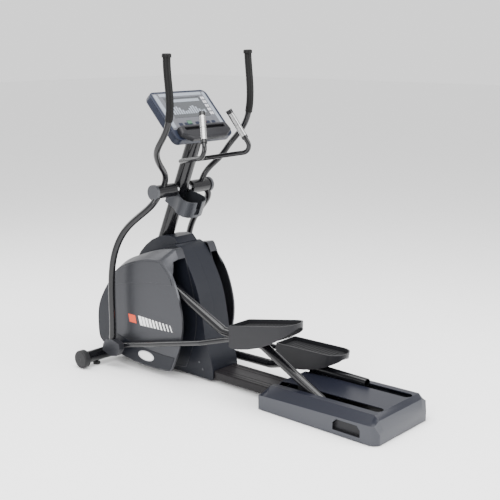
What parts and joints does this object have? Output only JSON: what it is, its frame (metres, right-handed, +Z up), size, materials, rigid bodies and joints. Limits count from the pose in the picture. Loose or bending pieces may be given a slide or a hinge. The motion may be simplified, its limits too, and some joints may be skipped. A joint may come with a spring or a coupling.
{
  "type": "elliptical trainer",
  "caption": "Front-drive elliptical trainer with swinging arm bars, tray pedals on track-guided arms, an enclosed crank and flywheel drive, a fixed handlebar with pulse grips and a console.",
  "frame": {"origin": "floor point under the middle of the machine's overall box; floor is z = 0", "axes": "+X from the nose to the step-on end, +Y to the right of a user facing the console, +Z up"},
  "size_m": [1.932, 0.836, 1.737],
  "materials": {
    "frame_black": "glossy black powder coat",
    "shroud_dark": "satin charcoal injection moulding",
    "panel_grey": "metallic grey painted plastic",
    "rubber_black": "matt black rubber",
    "foam_black": "closed-cell foam",
    "wheel_black": "moulded black",
    "track_metal": "extruded, plain",
    "steel": "turned and zinc plated",
    "sensor_steel": "brushed stainless contact plates",
    "cast": "machined casting",
    "pedal_plastic": "fine-grained dark grey moulding",
    "roller_plastic": "cast urethane",
    "console_black": "fine-grained black moulding",
    "console_silver": "silver printed overlay",
    "lens": "smoked display window",
    "board": "green circuit board"
  },
  "bodies": {
    "frame": {"main_rail": "frame_black", "front_stabilizer": "frame_black", "rear_crossmember": "frame_black", "levelling_feet": "rubber_black", "column": "frame_black", "column_gussets": "frame_black", "roller_tracks": "track_metal", "pivot_shaft": "steel", "bearing_frame": "frame_black", "flywheel_bracket": "frame_black", "drive_belt": "rubber_black", "front_shell": "shroud_dark", "housing_left": "shroud_dark", "housing_right": "shroud_dark", "side_panel_left": "panel_grey", "side_panel_right": "panel_grey", "top_cap": "shroud_dark", "shroud_screws": "steel", "rear_cover": "shroud_dark", "fixed_handlebar": "frame_black", "hr_sensors": "sensor_steel", "bottle_holder": "panel_grey", "console_bracket": "frame_black", "console_shell": "console_black", "console_face": "console_silver", "display_lens": "lens", "console_tray": "console_black", "control_board": "board", "power_inlet": "console_black"},
    "crank": {"crank_axle": "steel", "crank_arm_left": "steel", "crank_arm_right": "steel", "crank_pin_bearings": "steel", "drive_pulley": "cast"},
    "flywheel": {"flywheel": "cast"},
    "idler": {"idler_pulley": "rubber_black"},
    "start_button": {"start_key": "console_silver"},
    "stop_button": {"stop_key": "console_silver"},
    "left_carriage": {"roller_axle_left": "steel"},
    "left_roller": {"roller_left": "roller_plastic"},
    "left_arm": {"pedal_arm_left": "frame_black"},
    "left_pedal_link": {"rod_left": "frame_black", "pedal_left": "pedal_plastic", "pedal_mat_left": "rubber_black"},
    "left_handle": {"handlebar_left": "frame_black", "grip_left": "foam_black", "hub_cap_left": "panel_grey", "lower_cover_left": "panel_grey"},
    "left_wheel": {"wheel_left": "wheel_black"},
    "right_carriage": {"roller_axle_right": "steel"},
    "right_roller": {"roller_right": "roller_plastic"},
    "right_arm": {"pedal_arm_right": "frame_black"},
    "right_pedal_link": {"rod_right": "frame_black", "pedal_right": "pedal_plastic", "pedal_mat_right": "rubber_black"},
    "right_handle": {"handlebar_right": "frame_black", "grip_right": "foam_black", "hub_cap_right": "panel_grey", "lower_cover_right": "panel_grey"},
    "right_wheel": {"wheel_right": "wheel_black"}
  },
  "joints": [
    {"name": "crank_spin", "type": "hinge", "parent": "frame", "child": "crank", "pos_m": [-0.6, 0, 0.333], "axis": [0, 1, 0], "continuous": true},
    {"name": "flywheel_spin", "type": "hinge", "parent": "frame", "child": "flywheel", "pos_m": [-0.868, 0, 0.25], "axis": [0, 1, 0], "continuous": true},
    {"name": "idler_spin", "type": "hinge", "parent": "frame", "child": "idler", "pos_m": [-0.77628, -0.057, 0.16741], "axis": [0, 1, 0], "continuous": true},
    {"name": "left_glide", "type": "slide", "parent": "frame", "child": "left_carriage", "axis": [1, 0, 0], "range_m": [-0.075, 0.25]},
    {"name": "right_glide", "type": "slide", "parent": "frame", "child": "right_carriage", "axis": [1, 0, 0], "range_m": [-0.25, 0.075]},
    {"name": "left_tilt", "type": "hinge", "parent": "left_carriage", "child": "left_arm", "pos_m": [0.488, -0.122, 0.0883], "axis": [0, 1, 0], "range_deg": [-26.41, 0]},
    {"name": "right_tilt", "type": "hinge", "parent": "right_carriage", "child": "right_arm", "pos_m": [0.5868, 0.122, 0.0883], "axis": [0, 1, 0], "range_deg": [0, 26.41]},
    {"name": "left_roller_spin", "type": "hinge", "parent": "left_carriage", "child": "left_roller", "pos_m": [0.488, -0.122, 0.0883], "axis": [0, 1, 0], "continuous": true},
    {"name": "right_roller_spin", "type": "hinge", "parent": "right_carriage", "child": "right_roller", "pos_m": [0.5868, 0.122, 0.0883], "axis": [0, 1, 0], "continuous": true},
    {"name": "left_pedal_pitch", "type": "hinge", "parent": "left_arm", "child": "left_pedal_link", "pos_m": [0.165, -0.14, 0.3033], "axis": [0, 1, 0], "range_deg": [0, 35.95]},
    {"name": "right_pedal_pitch", "type": "hinge", "parent": "right_arm", "child": "right_pedal_link", "pos_m": [0.2019, 0.14, 0.1372], "axis": [0, 1, 0], "range_deg": [-35.95, 0]},
    {"name": "left_swing", "type": "hinge", "parent": "frame", "child": "left_handle", "pos_m": [-0.476, -0.129, 1.005], "axis": [0, 1, 0], "range_deg": [-16.2, 4.9]},
    {"name": "right_swing", "type": "hinge", "parent": "frame", "child": "right_handle", "pos_m": [-0.476, 0.129, 1.005], "axis": [0, 1, 0], "range_deg": [-4.9, 16.2]},
    {"name": "left_wheel_spin", "type": "hinge", "parent": "frame", "child": "left_wheel", "pos_m": [-0.874, -0.398, 0.052], "axis": [0, 1, 0], "continuous": true},
    {"name": "right_wheel_spin", "type": "hinge", "parent": "frame", "child": "right_wheel", "pos_m": [-0.874, 0.398, 0.052], "axis": [0, 1, 0], "continuous": true},
    {"name": "start_press", "type": "slide", "parent": "frame", "child": "start_button", "axis": [-0.727, 0, -0.6866], "range_m": [0, 0.001], "stiffness_N_per_m": 400},
    {"name": "stop_press", "type": "slide", "parent": "frame", "child": "stop_button", "axis": [-0.727, 0, -0.6866], "range_m": [0, 0.001], "stiffness_N_per_m": 400}
  ],
  "couplings": [
    {"joint": "flywheel_spin", "follows": "crank_spin", "ratio": 7.6},
    {"joint": "idler_spin", "follows": "crank_spin", "ratio": -9.5},
    {"joint": "right_glide", "follows": "left_glide", "ratio": -1},
    {"joint": "right_tilt", "follows": "left_tilt", "ratio": -1},
    {"joint": "left_roller_spin", "follows": "left_glide", "rad_per_m": 33.333},
    {"joint": "right_roller_spin", "follows": "left_glide", "rad_per_m": -33.333},
    {"joint": "left_pedal_pitch", "follows": "left_tilt", "ratio": -1.36},
    {"joint": "right_pedal_pitch", "follows": "left_tilt", "ratio": 1.36},
    {"joint": "left_swing", "follows": "left_glide", "rad_per_m": -1.1236},
    {"joint": "right_swing", "follows": "left_glide", "rad_per_m": 1.1236}
  ]
}
